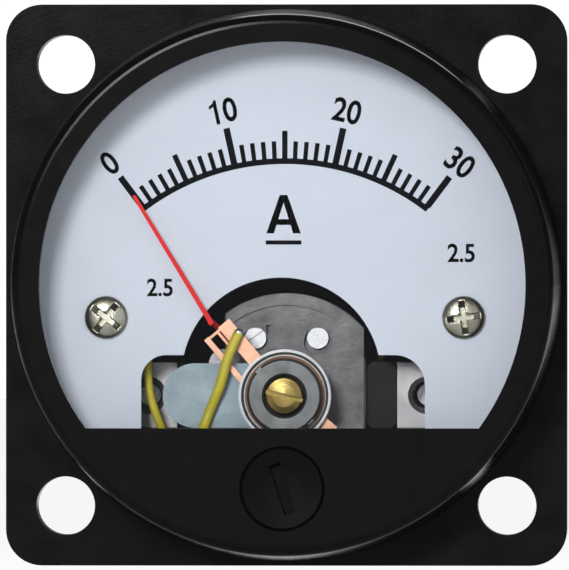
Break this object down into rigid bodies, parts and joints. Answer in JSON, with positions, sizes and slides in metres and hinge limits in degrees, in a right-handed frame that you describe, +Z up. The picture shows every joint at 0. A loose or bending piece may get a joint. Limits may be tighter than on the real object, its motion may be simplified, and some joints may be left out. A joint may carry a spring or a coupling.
{
  "type": "analog panel meter",
  "caption": "Round-faced moving-coil panel meter on a square mounting flange, with a printed dial, cranked pointer, zero adjuster and two rear screw terminals.",
  "frame": {"origin": "centre of the four panel screw holes, on the back face of the flange, which is the plane of the panel", "axes": "+Y into the panel towards the terminals, so the dial faces -Y; +X to the right of the dial; +Z up"},
  "size_m": [0.045, 0.044, 0.045],
  "materials": {
    "black_moulding": "satin black phenolic moulding",
    "clear_pane": "clear polished pane",
    "gasket_rubber": "matte",
    "dial_paint": "matte pale blue-white dial lacquer",
    "zinc_cast": "matte die-cast zinc",
    "soft_iron": "zinc-plated soft iron",
    "magnet_alloy": "dark sintered magnet",
    "bright_steel": "nickel-plated steel",
    "brass": "turned brass",
    "copper_strip": "tinned copper strip",
    "spring_bronze": "polished bronze strip",
    "jewel_stone": "synthetic bearing stone",
    "brown_fibre": "brown vulcanised fibre",
    "former_aluminium": "bent aluminium strip",
    "enamelled_wire": "varnished copper winding",
    "red_paint": "red lacquer",
    "yellow_sleeve": "plain coloured sleeve",
    "tinned_brass": "tinned"
  },
  "bodies": {
    "case": {"rear_case": "black_moulding", "front_bezel": "black_moulding", "window": "clear_pane", "rim_gasket": "gasket_rubber", "dial_plate": "dial_paint", "dial_screws": "bright_steel", "movement_frame": "zinc_cast", "pole_shoe_left": "soft_iron", "pole_shoe_right": "soft_iron", "magnet_left": "magnet_alloy", "magnet_right": "magnet_alloy", "yoke": "soft_iron", "pole_rivets": "bright_steel", "core": "soft_iron", "core_support": "brass", "frame_screws": "bright_steel", "movement_screws": "bright_steel", "front_bridge": "zinc_cast", "bridge_screw": "bright_steel", "bearing_bush": "brass", "front_jewel_screw": "brass", "front_jewel": "jewel_stone", "lock_nut": "bright_steel", "friction_washer": "zinc_cast", "front_insulator": "brown_fibre", "rear_insulator": "brown_fibre", "rear_bridge": "brass", "rear_bridge_screws": "bright_steel", "rear_jewel_screw": "brass", "rear_jewel": "jewel_stone", "rear_lock_nut": "bright_steel", "rear_spring_lug": "copper_strip", "rear_hairspring": "spring_bronze", "lead_wire_front": "yellow_sleeve", "lead_wire_left": "yellow_sleeve", "shunt": "copper_strip", "terminal_studs": "brass", "terminal_washers": "bright_steel", "lock_washers": "bright_steel", "terminal_nuts": "bright_steel", "solder_tags": "tinned_brass"},
    "zero_adjuster": {"zero_screw": "black_moulding", "zero_clip": "bright_steel"},
    "zero_regulator": {"regulator": "copper_strip", "front_hairspring": "spring_bronze"},
    "moving_coil": {"coil_former": "former_aluminium", "coil_winding": "enamelled_wire", "front_staff": "bright_steel", "rear_staff": "bright_steel", "pointer": "red_paint", "pointer_carrier": "brass", "balance_weights": "bright_steel"}
  },
  "joints": [
    {"name": "zero_turn", "type": "hinge", "parent": "case", "child": "zero_adjuster", "pos_m": [0, -0.0115, -0.0162], "axis": [0, 1, 0], "range_deg": [-30, 30]},
    {"name": "regulator_turn", "type": "hinge", "parent": "case", "child": "zero_regulator", "pos_m": [0, -0.0055, -0.00885], "axis": [0, 1, 0], "range_deg": [-4.2, 4.2]},
    {"name": "coil_turn", "type": "hinge", "parent": "zero_regulator", "child": "moving_coil", "pos_m": [0, 0.004, -0.00885], "axis": [0, 1, 0], "range_deg": [-1.5, 75.5], "stiffness_Nm_per_rad": 0.000008}
  ],
  "couplings": [
    {"joint": "regulator_turn", "follows": "zero_turn", "ratio": -0.131}
  ]
}
